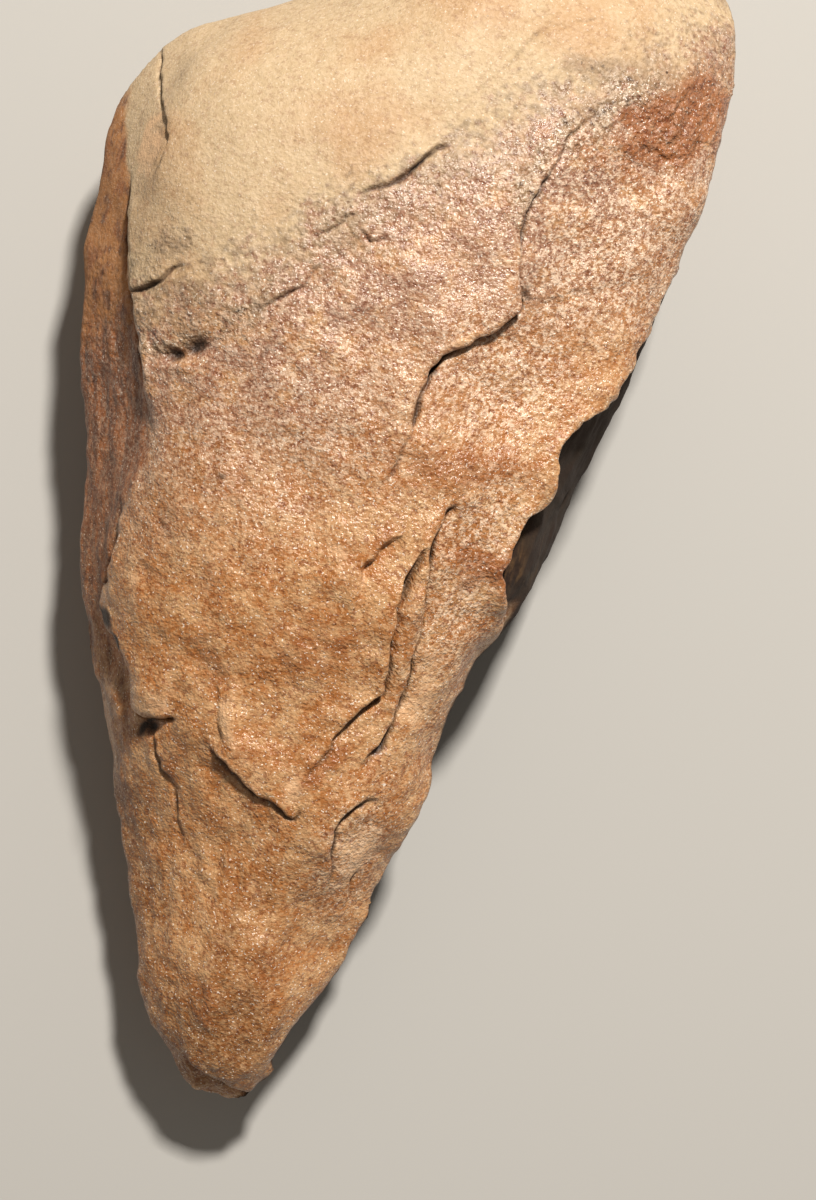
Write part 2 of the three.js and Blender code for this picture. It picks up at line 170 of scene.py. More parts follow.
SEAMS = [
    # The main step, with its undercut in the middle
    plain_seam([(21.5, 133.5, 0), (17.5, 127, 0.3), (16.1, 122.2, 0.4), (14.5, 117.4, 0.5),
                (14.4, 114, 0.45), (14.7, 111.4, 0.5), (15.6, 107.7, 0.8), (15.8, 106, 1),
                (14, 103.7, 1), (10.8, 100.8, 1), (7.5, 98.6, 1), (6.7, 96.5, 0.75),
                (6.3, 93.6, 0.6), (5.8, 90.4, 0.5), (5.4, 87.3, 0.35), (4.4, 84.1, 0.25), (2.8, 80.8, 0)],
               drop=1.2, lip=0.2, groove=1.1, dirt=1.1, pale=0.6, reach=3.5),
    # The two feet of the rolled welt
    plain_seam([(10.2, 76.1, 0), (9.2, 73.9, 0.6), (8.6, 71.2, 1), (8.2, 67.5, 1), (8.1, 63.9, 1),
                (8.5, 60.3, 1), (8.2, 57.1, 1), (6.9, 55.2, 0.9), (5.1, 53, 0.7), (3.7, 50.5, 0.5),
                (2.3, 47.1, 0.3), (0.5, 43.5, 0)],
               drop=1.0, lip=0.3, groove=0.8, dirt=0.8, reach=2.4),
    plain_seam([(12.8, 82, 0), (11.6, 79.9, 0.6), (10.8, 77, 0.9), (10.9, 73.8, 0.8),
                (11.1, 70.2, 1), (11.5, 66.4, 1), (11.4, 62.5, 1), (10.9, 57.6, 1), (10.1, 53.4, 0.8),
                (8.9, 50.2, 0.5), (7.4, 47.2, 0)],
               drop=1.3, lip=0.2, groove=1.5, dirt=1.3, reach=2.8),
    # The foot of the lobe
    plain_seam([(1.5, 41.8, 0), (0.4, 39.9, 0.4), (-0.6, 39.9, 0.7), (-2.3, 41.3, 1), (-4.3, 41.9, 1),
                (-7.3, 43.3, 1), (-9.0, 44.7, 1), (-10.4, 45.5, 0.9), (-11.1, 46.3, 0.4), (-11.3, 47.5, 0)],
               drop=0.7, lip=0.25, groove=0.6, pale=0.5, reach=4),
    plain_seam([(-10.9, 45.8, 0.2), (-10.1, 47.6, 0.8), (-10.5, 50.5, 1), (-11.5, 53.5, 0.7),
                (-12.2, 56.5, 0)],
               drop=0.6, dirt=0.1, pale=0.5, reach=2.5),
    # The left side of the lobe, with the underside of the nub
    plain_seam([(-16.3, 49.6, 0), (-18, 48.9, 0.9), (-20, 48.7, 1), (-21.6, 50, 1), (-21.9, 52, 0.9),
                (-22.8, 54.2, 0.9), (-24.7, 56.6, 0.9), (-26.9, 58.7, 1), (-28.2, 61, 1),
                (-28.2, 65, 0.6), (-27.8, 70, 0.3), (-27.8, 75, 0)],
               drop=1.3, lip=0.25, groove=1.1, dirt=1.1, pale=0.3, reach=2.5),
    plain_seam([(-12.5, 32, 0), (-12.9, 34.1, 0.4), (-14, 37.5, 0.7), (-14.8, 40.4, 0.9),
                (-17, 42.4, 1), (-18.9, 46.6, 0.9), (-19.3, 48, 0)],
               drop=0.3, groove=0.3, dirt=0.6, reach=2),
    # The cracks over the left facets
    plain_seam([(-31.8, 112.5, 0), (-30.6, 115.5, 0.4), (-30.2, 119.4, 1), (-31.1, 121.6, 1),
                (-32.6, 124.6, 0.9), (-33.8, 129.9, 0.8), (-34.8, 133, 0)],
               drop=0.5, groove=0.35, dirt=0.6, reach=3),
    plain_seam([(-24.8, 83, 0), (-26.8, 87.5, 0.6), (-28.7, 92.9, 0.9), (-30.5, 97.5, 1),
                (-32.1, 102, 1), (-32.9, 105.7, 1), (-33.8, 109.4, 0.9), (-34.0, 112, 0.4),
                (-34.6, 115, 0)], drop=0.8, lip=0.2, groove=0.6, dirt=0.9, reach=3),
    plain_seam([(-24.8, 104.6, 0), (-26.5, 103.2, 0.7), (-27.7, 101.8, 1), (-28.9, 101.1, 1),
                (-30.4, 100.3, 1), (-31.2, 99.9, 0)], drop=0.4, groove=0.45, dirt=0.8, reach=2),
    # The cleft in the rind and its broken end
    plain_seam([(4.4, 124.2, 0), (2.3, 123.2, 0.8), (0.7, 121.1, 1), (-0.4, 119.6, 1),
                (-2.3, 118, 0.8), (-4.5, 116.8, 0.5), (-6.6, 115.4, 0)],
               drop=0.5, groove=0.6, dirt=0.9, reach=3),
    plain_seam([(-4.8, 113.6, 0), (-6.2, 113, 0.8), (-8.4, 111.3, 1), (-9.6, 110.4, 0.6),
                (-11, 109.4, 0)], drop=0.35, groove=0.35, dirt=0.5, reach=2),
    plain_seam([(-0.6, 111.6, 0), (-1.5, 111.1, 0.9), (-3.1, 110.8, 1), (-4.4, 111.6, 0.5),
                (-5, 112.2, 0)], drop=0.4, groove=0.3, dirt=0.45, reach=2),
    plain_seam([(-8.3, 106.8, 0), (-9.7, 105.7, 0.8), (-10.6, 103.7, 1), (-12.2, 102.6, 1),
                (-13.8, 101.3, 0.6), (-15.8, 99.6, 0)], drop=0.45, groove=0.4, dirt=0.7, reach=2.5),
    # Fine cracks in the rind near the butt
    plain_seam([(15.6, 147, 0), (14.2, 144, 0.8), (12.4, 140.3, 0.7), (10.2, 135.4, 0)],
               groove=0.25, dirt=0.35),
    plain_seam([(20, 143.4, 0), (17, 142.2, 0.6), (13, 140.4, 1), (11.4, 139.1, 1), (10, 136.6, 0.6),
                (8.1, 133.8, 0.5), (6.2, 130.9, 0.4), (3.2, 128, 0)], groove=0.3, dirt=0.5),
    # Small steps and cracks on the right
    plain_seam([(7.5, 76.4, 0), (6.4, 75.9, 0.6), (5.3, 75.1, 1), (3.9, 73, 1), (3.1, 70.4, 0.8),
                (3.2, 67.9, 0.5), (3.4, 65, 0)], drop=1.0, lip=0.25, groove=0.2, dirt=0.35, reach=4),
    plain_seam([(16.8, 107, 0), (19.4, 107.8, 0.7), (22.2, 109.2, 1), (25.2, 110.4, 0.8),
                (29.8, 112.7, 0.5), (31.8, 113.6, 0)], drop=-0.3, groove=0.3, dirt=0.35, reach=2),
    plain_seam([(34.8, 139, 0), (34.8, 136, 0.9), (33.9, 131.8, 1), (33.6, 128.9, 0.7),
                (33.4, 126.5, 0)], drop=-0.5, lip=0.2, groove=0.3, dirt=0.4, reach=2),
    plain_seam([(32.4, 135.4, 0), (32.1, 133.3, 0.8), (31.3, 130.5, 0.8), (30, 128.4, 0)],
               drop=-0.4, lip=0.2, groove=0.25, dirt=0.35, reach=2),
    plain_seam([(30.9, 136.4, 0), (30.7, 135.1, 0.9), (29.9, 131.6, 1), (28.4, 129.8, 0)],
               drop=-0.3, lip=0.2, groove=0.25, dirt=0.35, reach=2),
    plain_seam([(33.1, 128.4, 0), (30.4, 128.1, 0.8), (27.3, 128.7, 0.9), (25, 130.6, 0)],
               drop=0.25, lip=0.2, groove=0.1, dirt=0.25, reach=2),
    plain_seam([(31.8, 126.4, 0), (29, 126, 0.8), (25.6, 127, 0.8), (23.4, 128.6, 0)],
               drop=0.2, lip=0.2, groove=0.1, dirt=0.2, reach=2),
    plain_seam([(10.2, 44.4, 0), (8.8, 43.7, 0.7), (7.3, 42.7, 1), (6.6, 41.6, 1), (5.7, 39.4, 1),
                (6, 35.5, 0.7), (6.3, 32.8, 0.5), (6.3, 29.5, 0)],
               drop=0.6, lip=0.2, groove=0.45, dirt=0.9, reach=3),
    plain_seam([(9.3, 34.8, 0), (9, 33.2, 1), (9, 30.4, 0.8), (8.8, 28, 0)],
               drop=0.35, groove=0.3, dirt=0.5, reach=2),
    # The chipped tip
    plain_seam([(2.9, 3.4, 0), (0.9, 2.9, 0.8), (-1.8, 3.6, 1), (-4.6, 4.4, 1), (-6.7, 5.6, 0.8),
                (-8.3, 7.4, 0)], drop=0.9, groove=0.4, dirt=0.7, reach=3),
]

# The lower border of the rind runs along two lines, each a direction square to it and a distance
RIND_LINES = [((-0.622, 0.783), 90.8), ((-0.363, 0.932), 101.7)]

# The sharp right edge of the upper face, over the steep side, with a dark line along it of dirt and painted
# shade
RIGHT_EDGE = plain_seam([(35.2, 119, 0), (34.2, 115, 0.3), (32.3, 110.5, 0.7), (30.6, 105.7, 1),
                         (30, 101.9, 1), (28.1, 97.1, 1), (25.7, 94.6, 1), (24.4, 91.9, 1),
                         (23.6, 89.5, 1), (24, 86.9, 1), (23.4, 84.3, 1), (21.7, 81.8, 1),
                         (20.7, 78.9, 1), (19.6, 74.9, 1), (20.4, 72.4, 0.7), (21.2, 69, 0.2),
                         (20.9, 64, 0), (18.6, 55, 0), (17.2, 51, 0.6), (16, 47.8, 0.9),
                         (15.3, 44.6, 0.9), (14.9, 40.6, 0.5), (13.9, 36, 0.2), (12.5, 30.2, 0)],
                        drop=3.2, lip=0.25, groove=0.6, reach=4)

# Where the dark skin of the left facets begins
LEFT_EDGE = np.array([(-10, 8, 0), (-16, 22, 0.3), (-21, 45, 0.35), (-24.1, 55, 0.5),
                      (-28.2, 61.9, 0.8), (-27.8, 72, 1), (-26.3, 76.6, 1), (-25.2, 81.1, 1),
                      (-26.1, 84.8, 1), (-27.3, 88.8, 1), (-28.7, 92.9, 1), (-30.9, 100, 1),
                      (-32.9, 105.7, 1), (-33.8, 109.4, 1), (-34.3, 113.1, 1), (-35.3, 116.3, 1),
                      (-36.6, 121.6, 0.8), (-36.9, 126.3, 0.5), (-35.5, 134, 0)])

# Bosses and hollows: across, along, half length, half width, angle in degrees, height
BOSSES = [
    (-19.6, 51.6, 3.0, 2.0, 60, 0.9),
    (-19.9, 47.2, 1.3, 1.0, 20, -1.1),
    (-9.0, 50.0, 4.6, 1.0, 100, 0.8),
    (9.8, 65.5, 9.5, 0.95, 89, 0.9),
    (25.1, 91.6, 3.0, 0.7, 80, 0.4),
    (-24.6, 92.9, 1.5, 0.8, 5, -1.3),
    (-21.9, 94.4, 1.7, 0.9, 15, -1.1),
    (-23.2, 91.6, 2.6, 0.8, 15, 0.4),
    (-13.2, 56.6, 4.0, 2.2, -20, -0.5),
    (31.6, 132.0, 5.0, 3.4, 60, -0.7),
    (-5.5, 108.8, 2.6, 1.2, 30, -0.5),
    (-3.6, 5.0, 5.0, 2.0, -12, -0.5),
]

# Stains, some of them painted shade: across, along, half length, half width, angle in degrees, strength
STAINS = {
    "rust": [
        (13.5, 86.0, 11.0, 3.6, 12, 0.8),
        (18.0, 74.5, 6.0, 4.0, -10, 0.95),
        (5.2, 76.0, 4.0, 2.2, 40, 0.6),
        (-2.0, 61.0, 9.0, 5.0, 30, 0.6),
        (-13.0, 57.0, 5.0, 2.6, -30, 0.7),
        (-15.5, 43.0, 6.0, 2.0, 100, 0.6),
        (-14.0, 80.0, 7.0, 4.0, 20, 0.5),
        (30.5, 132.0, 9.0, 5.0, 50, 1.3),
        (24.0, 127.0, 8.0, 3.2, 40, 0.6),
        (3.0, 47.0, 4.5, 1.6, 55, 0.8),
        (-7.0, 15.0, 4.5, 1.2, -60, 0.7),
        (8.5, 18.0, 5.0, 2.5, 60, 0.4),
    ],
    "pale": [
        (-9.2, 50.0, 5.0, 1.5, 100, 0.95),
        (8.8, 36.5, 7.0, 3.0, 78, 0.8),
        (13.2, 58.5, 10.0, 2.6, 80, 0.7),
        (0.1, 73.4, 6.0, 0.9, -60, 0.7),
        (-24.6, 64.5, 6.0, 2.2, 95, 0.6),
        (-32.6, 119.0, 7.0, 1.5, 88, 0.9),
        (17.4, 66.5, 6.0, 2.0, 80, 0.5),
        (0.0, 44.0, 3.4, 1.6, 75, 0.9),
        (-5.5, 45.5, 3.4, 1.4, -20, 0.6),
        (-15.5, 66.5, 2.6, 1.2, 80, 0.5),
        (-19.4, 51.2, 3.4, 2.2, 60, 0.8),
        (25.1, 91.6, 3.0, 0.8, 80, 0.9),
        (3.3, 70.0, 2.6, 1.0, 80, 0.7),
        (-13.8, 61.0, 3.4, 1.6, 70, 0.5),
        (4.2, 93.0, 8.0, 2.2, 75, 0.5),
    ],
    # Darker brown at the lower left and the tip, partly painted shade
    "umber": [
        (-20.0, 28.0, 24.0, 5.5, 108, 1.1),
        (-6.0, 9.0, 13.0, 9.0, 10, 1.1),
        (-3.0, 20.0, 14.0, 8.0, 90, 0.5),
        (-19.4, 81.0, 8.0, 6.0, 20, 0.5),
    ],
    "ash": [
        (-27.0, 106.0, 3.5, 2.0, 40, 0.9),
        (-29.6, 97.0, 9.0, 1.5, 110, 0.9),
        (-24.0, 95.0, 4.5, 2.6, 20, 0.9),
        (-16.0, 100.0, 6.0, 1.6, 50, 0.8),
        (-7.0, 111.5, 7.0, 2.0, 45, 0.7),
        (3.0, 120.5, 6.0, 2.0, 40, 0.6),
        (21.8, 132.2, 10.0, 2.5, 42, 1.1),
        (20.5, 136.8, 7.0, 2.2, 8, 0.9),
        (14.3, 121.5, 6.5, 1.8, 78, 0.9),
    ],
    # Dark marks of painted shadow under the nub, the overhangs and the main step's undercut, with dirt in
    # the cracks
    "dirt": [
        (-27.6, 60.2, 1.8, 0.6, 118, 1.2),
        (-25.8, 56.6, 2.6, 0.45, 118, 1.2),
        (-20.4, 47.4, 1.5, 0.8, 30, 1.2),
        (-16.2, 80.6, 1.2, 0.5, 10, 0.7),
        (-22.2, 72.3, 1.0, 0.6, 40, 0.7),
        (-18.8, 74.8, 0.9, 0.5, 20, 0.6),
        (-13.6, 95.3, 1.6, 0.6, 30, 0.6),
        (-16.0, 99.7, 1.4, 0.6, 40, 0.6),
        (16.0, 107.6, 1.2, 0.5, 60, 0.8),
        (7.6, 97.0, 1.4, 0.7, 40, 0.9),
    ],
    # Where the painted shade of the right side shows dim golden streaks
    "gold": [
        (22.0, 75.0, 3.5, 1.8, 65, 0.9),
    ],
    "fresh": [
        (25.0, 118.0, 17.0, 11.0, 65, 1.0),
        (16.0, 98.0, 11.0, 9.0, 80, 0.9),
        (16.0, 76.0, 24.0, 6.0, 85, 0.9),
        (8.6, 37.0, 8.0, 3.5, 78, 1.0),
        (-4.0, 88.0, 18.0, 14.0, 40, 0.45),
    ],
}


def select_only(piece):
    """Leaves one object selected and active."""
    bpy.ops.object.select_all(action="DESELECT")
    piece.select_set(True)
    bpy.context.view_layer.objects.active = piece


def modify(piece, kind, **settings):
    """Adds one modifier to the piece and applies it."""
    select_only(piece)
    added = piece.modifiers.new(kind, kind)
    for name, value in settings.items():
        setattr(added, name, value)
    bpy.ops.object.modifier_apply(modifier=added.name)


def weigh(piece, name, weights):
    """Gives the piece a vertex group with these weights."""
    group = piece.vertex_groups.new(name=name)
    levels = np.round(np.clip(weights, 0, 1) * WEIGHT_LEVELS).astype(int)
    for level in np.unique(levels):
        members = np.flatnonzero(levels == level).tolist()
        group.add(members, float(level) / WEIGHT_LEVELS, "REPLACE")
    return name


def points_of(piece):
    """The piece's vertices in millimetres."""
    flat = np.empty(len(piece.data.vertices) * 3, np.float32)
    piece.data.vertices.foreach_get("co", flat)
    return flat.reshape(-1, 3).astype(float) / MM


def move_points(piece, points):
    """Puts the piece's vertices at these places, given in millimetres."""
    piece.data.vertices.foreach_set("co", (points * MM).astype(np.float32).ravel())
    piece.data.update()


def normals_of(piece):
    """The direction that each of the piece's vertices faces."""
    flat = np.empty(len(piece.data.vertices) * 3, np.float32)
    piece.data.vertices.foreach_get("normal", flat)
    return flat.reshape(-1, 3).astype(float)


def smoothstep(value, start, end):
    """Eases from 0 at start to 1 at end."""
    share = np.clip((value - start) / (end - start), 0, 1)
    return share * share * (3 - 2 * share)


def hump(offset, place, width):
    """A soft ridge across a line, 1 at its place."""
    return np.exp(-((offset - place) / width) ** 2)


def spread(piece, values, rounds):
    """Each vertex takes the mean of itself and its neighbours, so many rounds."""
    flat = np.empty(len(piece.data.edges) * 2, np.int32)
    piece.data.edges.foreach_get("vertices", flat)
    first, second = flat.reshape(-1, 2).T
    count = 1 + np.bincount(flat, minlength=len(values))
    for _ in range(rounds):
        columns = []
        for column in values.T:
            total = column + np.bincount(first, column[second], len(column))
            columns.append((total + np.bincount(second, column[first], len(column))) / count)
        values = np.array(columns).T
    return values


def swell(points, size, shift=0.0):
    """Smooth noise between about -1 and 1, with lumps of this size in millimetres."""
    offset = Vector((shift, -shift, 2 * shift))
    return np.array([noise.noise(Vector(p) / size + offset) for p in points])


def drift(points, size):
    """Smooth noise with a direction of its own in each lump."""
    return np.array([noise.noise_vector(Vector(p) / size) for p in points])


def patch(plan, across, along, half_length, half_width, angle, strength):
    """A soft oval spot in plan."""
    turn = math.radians(angle)
    lengthwise = np.array([math.cos(turn), math.sin(turn)])
    crosswise = np.array([-math.sin(turn), math.cos(turn)])
    away = plan - np.array([across, along])
    reach = ((away @ lengthwise) / half_length) ** 2 + ((away @ crosswise) / half_width) ** 2
    return strength * np.exp(-reach)


def walk(plan, line):
    """How far each place lies to the left of a line in plan, and the line's strength beside it."""
    gap = np.full(len(plan), np.inf)
    offset = np.zeros(len(plan))
    strength = np.zeros(len(plan))
    for start, end in zip(line[:-1], line[1:]):
        way = end[:2] - start[:2]
        share = np.clip(((plan - start[:2]) @ way) / (way @ way), 0, 1)
        away = plan - start[:2] - share[:, None] * way
        distance = np.hypot(away[:, 0], away[:, 1])
        left = np.sign(way[0] * away[:, 1] - way[1] * away[:, 0])
        nearer = distance < gap
        gap = np.where(nearer, distance, gap)
        offset = np.where(nearer, left * distance, offset)
        strength = np.where(nearer, start[2] + share * (end[2] - start[2]), strength)
    return offset, strength


def cut_blank():
    """The knapped solid as one even skin, its facets softened and its edges kept."""
    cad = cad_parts["hand_axe"]
    stone = bpy.data.objects.new("knapped_stone", cad.data.copy())
    bpy.context.scene.collection.objects.link(stone)
    stone.data.materials.clear()
    modify(stone, "WELD", merge_threshold=WELD_GAP * MM)
    modify(stone, "REMESH", mode="VOXEL", voxel_size=SKIN_FACE * MM, use_smooth_shade=True)
    mean = spread(stone, normals_of(stone), EDGE_SPREAD)
    sharp = smoothstep(np.linalg.norm(mean, axis=1), *EDGE_TURN)
    sideways = smoothstep(np.abs(mean[:, 2]), *EDGE_LEAN)
    edges = spread(stone, (sharp * sideways)[:, None], EDGE_SPREAD)[:, 0]
    soft = weigh(stone, "soft", 1 - EDGE_HOLD * edges)
    modify(stone, "SMOOTH", factor=SOFTENING, iterations=SOFTENING_ROUNDS, vertex_group=soft)
    stone.vertex_groups.clear()
    return stone


def select_faces(stone, chosen):
    """Leaves these faces of the stone selected, in edit mode."""
    select_only(stone)
    bpy.ops.object.mode_set(mode="EDIT")
    bpy.ops.mesh.select_mode(type="FACE")
    bpy.ops.mesh.select_all(action="DESELECT")
    bpy.ops.object.mode_set(mode="OBJECT")
    stone.data.polygons.foreach_set("select", chosen)
    bpy.ops.object.mode_set(mode="EDIT")


def refine_seams(stone):
    """Smaller faces along the steps and cracks."""
    plan = points_of(stone)[:, :2] - TIP
    upward = normals_of(stone)[:, 2] > 0
    near = np.zeros(len(plan), bool)
    for seam in [*SEAMS, RIGHT_EDGE]:
        offset, strength = walk(plan, seam["line"])
        near |= (np.abs(offset) < FINE_BAND) & (strength > 0) & upward
    loops = np.empty(len(stone.data.loops), np.int32)
    stone.data.loops.foreach_get("vertex_index", loops)
    starts = np.empty(len(stone.data.polygons), np.int32)
    stone.data.polygons.foreach_get("loop_start", starts)
    chosen = np.logical_and.reduceat(near[loops], starts)
    select_faces(stone, chosen)
    bpy.ops.mesh.subdivide(number_cuts=1)
    bpy.ops.object.mode_set(mode="OBJECT")


def note(stone, name, values):
    """Keeps one number per vertex for the finish to read."""
    attribute = stone.data.attributes.new(name, "FLOAT", "POINT")
    attribute.data.foreach_set("value", values.astype(np.float32))


def note_stains(stone, points, normals, lines):
    """Keeps the stains, some of them painted shade, and what the lines leave beside them, such as dirt with
    painted shade and pale lips.
    """
    upper = smoothstep(normals[:, 2], *STAIN_FACING)
    stained = points[:, :2] - TIP + STAIN_WARP * drift(points, STAIN_WARP_SIZE)[:, :2]
    for name, spots in STAINS.items():
        stain = lines.get(name, np.zeros(len(points)))
        for spot in spots:
            stain = np.maximum(stain, patch(stained, *spot))
        note(stone, name, stain * upper)


def note_sides(stone, plan, normals):
    """Keeps where the painted shade of the right side and the old skin of the left facets are."""
    offset, strength = walk(plan, RIGHT_EDGE["line"])
    side = smoothstep(offset, *SIDE_BORDER) * smoothstep(strength, *SIDE_STRENGTH)
    # Faces that are steep and turned to the right also get the side's painted shade
    steep = smoothstep(normals[:, 2], *STEEP_FACING) * smoothstep(normals[:, 0], *STEEP_RIGHTWARD)
    steep = steep * smoothstep(plan[:, 1], *STEEP_ALONG)
    note(stone, "side", np.maximum(side, steep))
    offset, strength = walk(plan, LEFT_EDGE)
    note(stone, "skin", smoothstep(offset, *SKIN_BORDER) * strength)


def carve_seams(stone):
    """Steps, cracks, bosses and hollows on the upper face, with the dirt and painted shade and the stains
    beside them.
    """
    points = points_of(stone)
    normals = normals_of(stone)
    plan = points[:, :2] - TIP
    wavering = plan + LINE_WARP * drift(points, LINE_WARP_SIZE)[:, :2]
    uneven = np.clip(UNEVEN_USUAL + UNEVEN_VARIES * swell(points, UNEVEN_SIZE), *UNEVEN_LIMITS)
    relief = np.zeros(len(points))
    dirt = np.zeros(len(points))
    lips = np.zeros(len(points))
    for seam in [*SEAMS, RIGHT_EDGE]:
        offset, strength = walk(wavering, seam["line"])
        broken = strength * uneven
        step = -np.tanh(offset / STEP_SLOPE) / 2 * np.exp(-np.abs(offset) / seam["reach"])
        lip = hump(offset, LIP_PLACE, LIP_WIDTH)
        groove = hump(offset, GROOVE_PLACE, GROOVE_WIDTH)
        relief += strength * seam["drop"] * step + broken * (seam["lip"] * lip - seam["groove"] * groove)
        # The dark line at the foot of each step and in each crack is dirt and painted shade
        dirt = np.maximum(dirt, seam["dirt"] * np.sqrt(broken) * hump(offset, DIRT_SHADE_PLACE, DIRT_SHADE_WIDTH))
        lips = np.maximum(lips, seam["pale"] * broken * hump(offset, RIM_PLACE, RIM_WIDTH))
    for boss in BOSSES:
        relief += patch(plan, *boss)
        # Deep hollows also get a dark mark of dirt and painted shade
        depth = -boss[-1]
        if depth > 0:
            dirt = np.maximum(dirt, patch(plan, *boss[:-1], min(1, depth) ** HOLLOW_DIRT_SHADE_POWER))
    note_stains(stone, points, normals, {"pale": lips, "dirt": dirt})
    note_sides(stone, plan, normals)
    facing = smoothstep(normals[:, 2], *RELIEF_FACING)
    move_points(stone, points + normals * (relief * facing)[:, None])


def roughen(stone):
    """Breaks up every edge and line, and raises lumps all over, with streaks on both sides."""
    points = points_of(stone)
    normals = normals_of(stone)
    plan = points[:, :2] - TIP
    rise = np.min([plan @ np.array(way) - start for way, start in RIND_LINES], axis=0)
    rind = smoothstep(rise, *RIND_RISE)
    shift = sum(height * drift(points, size) for height, size in DRIFT)
    outward = (shift * normals).sum(axis=1) * (DRIFT_FLATTENED + rind * RIND_FLATTENED)
    points = points + shift - outward[:, None] * normals
    move_points(stone, points)
    normals = normals_of(stone)
    lower = smoothstep(plan[:, 1], *LOWER_ALONG)
    leftward = smoothstep(LOWER_REACH * lower - plan[:, 0], *LEFT_ACROSS)
    leftward = leftward * (1 - rind) * (STREAKS_USUAL + STREAKS_LOWER * lower)
    rightward = walk(plan, RIGHT_EDGE["line"])[0] * smoothstep(plan[:, 1], *RIGHT_ALONG)
    streaky = np.maximum(leftward, smoothstep(rightward, *RIGHT_BORDER))
    stretched = points * np.array(STREAK_STRETCH)
    lumps = sum(height * swell(points, size, size) for height, size in LUMPS)
    streaks = sum(height * swell(stretched, size, -size) for height, size in STREAKS)
    relief = lumps * (1 - RIND_CALM * rind) + streaks * streaky
    move_points(stone, points + normals * relief[:, None])


def thin_back(stone):
    """Fewer faces under the stone, where it is plainer, and a flat patch that it rests on."""
    facing = np.empty(len(stone.data.polygons) * 3, np.float32)
    stone.data.polygons.foreach_get("normal", facing)
    select_faces(stone, facing.reshape(-1, 3)[:, 2] < BACK_TURN)
    bpy.ops.mesh.decimate(ratio=BACK_SHARE)
    bpy.ops.object.mode_set(mode="OBJECT")
    points = points_of(stone)
    points[:, 2] = np.maximum(points[:, 2], 0)
    move_points(stone, points)


class Thread:
    """One value in the finish. Sums and products of it add Math nodes."""

    def __init__(self, finish, socket):
        self.finish = finish
        self.socket = socket

    def other(self, output):
        """Another output of the same node."""
        return Thread(self.finish, self.socket.node.outputs[output])

    def _math(self, operation, first, second):
        return self.finish.node("Math", {"operation": operation}, {0: first, 1: second})

    def least(self, other):
        """The smaller of two values."""
        return self._math("MINIMUM", self, other)

    def __add__(self, other):
        return self._math("ADD", self, other)

    __radd__ = __add__

    def __sub__(self, other):
        return self._math("SUBTRACT", self, other)

    def __rsub__(self, other):
        return self._math("SUBTRACT", other, self)

    def __mul__(self, other):
        return self._math("MULTIPLY", self, other)

    __rmul__ = __mul__


class Finish:
    """A material, and the nodes that it is made with."""

    # A Mix node's sockets that hold its share and its two colours, and the output with its colour
    MIX_SHARE = 0
    MIX_FIRST = 6
    MIX_SECOND = 7
    MIX_RESULT = 2

    def __init__(self, name):
        self.material = bpy.data.materials.new(name)
        self.material.use_nodes = True
        self.tree = self.material.node_tree
        self.shader = self.tree.nodes["Principled BSDF"]

    def node(self, kind, settings=None, inputs=None, output=0):
        """Adds a node, sets it up, feeds its sockets and returns one of its outputs."""
        added = self.tree.nodes.new("ShaderNode" + kind)
        for name, value in (settings or {}).items():
            setattr(added, name, value)
        for name, value in (inputs or {}).items():
            self.feed(added.inputs[name], value)
        return Thread(self, added.outputs[output])

    def feed(self, socket, value):
        """Links a thread to a socket, or sets the socket's plain value."""
        if isinstance(value, Thread):
            self.tree.links.new(value.socket, socket)
        else:
            socket.default_value = value

    def layer(self, value, edge, *ragged):
        """Eases from 0 at the edge's first value to 1 at its second. Ragged is any number of pairs
        of a cloud and how far it moves the edge."""
        for cloud, strength in ragged:
            value = value + (cloud - 0.5) * strength
        settings = {"interpolation_type": "SMOOTHSTEP"}
        start, end = edge
        return self.node("MapRange", settings, {"Value": value, "From Min": start, "From Max": end})

    def cloud(self, place, size, detail, roughness):
        """Noise from 0 to 1 with lumps of this size in millimetres."""
        inputs = {"Vector": place, "Scale": 1 / size, "Detail": detail, "Roughness": roughness}
        return self.node("TexNoise", None, inputs)

    def mix(self, share, first, second, blend="MIX"):
        """Blends two colours."""
        settings = {"data_type": "RGBA", "blend_type": blend, "clamp_factor": True}
        inputs = {self.MIX_SHARE: share, self.MIX_FIRST: first, self.MIX_SECOND: second}
        return self.node("Mix", settings, inputs, self.MIX_RESULT)

    def attribute(self, name):
        """A number kept on the mesh."""
        return self.node("Attribute", {"attribute_name": name}, None, "Fac")


def paint(red, green, blue):
    """A screen colour of 0 to 255 as a shader's colour, by the curve of the sRGB standard."""
    shares = [value / 255 for value in (red, green, blue)]
    return [s / 12.92 if s <= 0.04045 else ((s + 0.055) / 1.055) ** 2.4 for s in shares] + [1.0]


# The colours of the stone, and of the floor
CREAM = paint(186, 161, 126)
CREAM_BUFF = paint(178, 144, 106)
OLIVE_GREY = paint(150, 124, 96)
ASH = paint(108, 88, 68)
PINK_BROWN = paint(150, 109, 87)
TAN = paint(188, 142, 98)
ORANGE_TAN = paint(168, 108, 58)
UMBER_TAN = paint(130, 80, 38)
RUST_RED = paint(144, 84, 42)
PATINA_ORANGE = paint(172, 114, 62)
PATINA = paint(152, 90, 45)
PATINA_PLUM = paint(100, 56, 32)
# Painted shade of the steep right side: near black, and dim gold along its streaks
SIDE_SHADE_DARK = paint(14, 9, 6)
SIDE_SHADE_GOLD = paint(92, 68, 40)
# Dark brown of specks and of dirt with painted shade, and near black for painted shadow at the deepest
GRIME_AND_SHADE = paint(58, 34, 20)
BLACK_DIRT_AND_SHADE = paint(20, 13, 9)
GRAIN_PALE = paint(255, 232, 206)
GRAIN_GOLD = paint(240, 204, 156)
# Near white for glints painted into the colour
PAINTED_GLINT = paint(255, 246, 232)
LIP_PALE = paint(226, 184, 142)
MOTTLE = paint(158, 100, 74)
FLOOR_COLOUR = paint(178, 176, 172)

